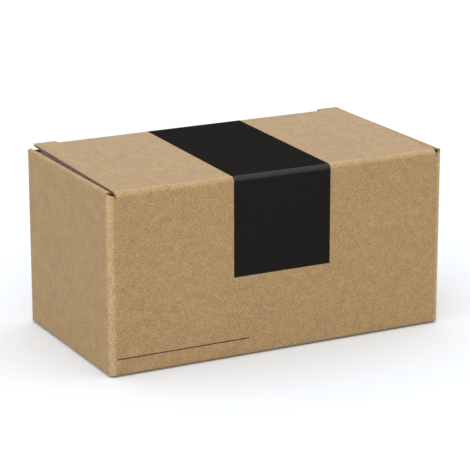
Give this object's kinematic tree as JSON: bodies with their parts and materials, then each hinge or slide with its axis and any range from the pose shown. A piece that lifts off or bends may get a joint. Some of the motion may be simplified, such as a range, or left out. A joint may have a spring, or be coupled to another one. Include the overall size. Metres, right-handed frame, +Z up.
{
  "type": "tuck-top corrugated carton",
  "caption": "Oblong carton of thin kraft corrugated board with a hinged tuck lid, side dust flaps and a snap-lock bottom, with a black printed band over the front and the lid.",
  "frame": {"origin": "centre of the closed carton's footprint, on the surface it stands on", "axes": "+X to the right seen from the front, +Y from the front wall to the rear wall, +Z up"},
  "size_m": [0.24, 0.1301, 0.1205],
  "materials": {
    "kraft_board": "uncoated brown kraft liner, matt, with fine fibres and the faint ribs of the flutes",
    "kraft_fold": "creased kraft liner, stretched and slightly lighter than the flat board",
    "kraft_inside": "uncoated brown kraft inner liner, matt and a little darker",
    "black_ink": "solid black print, satin",
    "seam_paste": "dried white box adhesive, dull"
  },
  "bodies": {
    "carton": {"front_wall": "kraft_board", "left_wall": "kraft_board", "right_wall": "kraft_board", "rear_wall": "kraft_board", "glue_flap": "kraft_inside", "seam_adhesive": "seam_paste", "front_left_fold": "kraft_fold", "front_right_fold": "kraft_fold", "rear_left_fold": "kraft_fold", "rear_right_fold": "kraft_fold", "front_bottom_flap": "kraft_board", "left_bottom_flap": "kraft_board", "right_bottom_flap": "kraft_board", "rear_bottom_flap": "kraft_board", "lid_fold": "kraft_fold", "left_dust_fold": "kraft_fold", "right_dust_fold": "kraft_fold", "front_band": "black_ink", "lid_fold_band": "black_ink", "front_rule": "black_ink"},
    "lid": {"lid_panel": "kraft_board", "lid_band": "black_ink", "tuck_fold": "kraft_fold", "tuck_fold_band": "black_ink"},
    "tuck": {"tuck_flap": "kraft_board", "tuck_band": "black_ink"},
    "left_dust": {"left_dust_flap": "kraft_board"},
    "right_dust": {"right_dust_flap": "kraft_board"}
  },
  "joints": [
    {"name": "lid_hinge", "type": "hinge", "parent": "carton", "child": "lid", "pos_m": [0, -0.065, 0.118], "axis": [1, 0, 0], "range_deg": [0, 170], "deforming": ["lid_fold", "lid_fold_band"]},
    {"name": "tuck_hinge", "type": "hinge", "parent": "lid", "child": "tuck", "pos_m": [0, 0.06049, 0.11775], "axis": [1, 0, 0], "range_deg": [0, 59.5], "deforming": ["tuck_fold", "tuck_fold_band"]},
    {"name": "left_dust_hinge", "type": "hinge", "parent": "carton", "child": "left_dust", "pos_m": [-0.11892, 0, 0.11807], "axis": [0, -1, 0], "range_deg": [0, 93.5], "deforming": ["left_dust_fold"]},
    {"name": "right_dust_hinge", "type": "hinge", "parent": "carton", "child": "right_dust", "pos_m": [0.11892, 0, 0.11807], "axis": [0, 1, 0], "range_deg": [0, 93.5], "deforming": ["right_dust_fold"]}
  ],
  "couplings": [
    {"joint": "tuck_hinge", "follows": "lid_hinge", "ratio": 0.35},
    {"joint": "left_dust_hinge", "follows": "lid_hinge", "ratio": 0.55},
    {"joint": "right_dust_hinge", "follows": "lid_hinge", "ratio": 0.55}
  ]
}
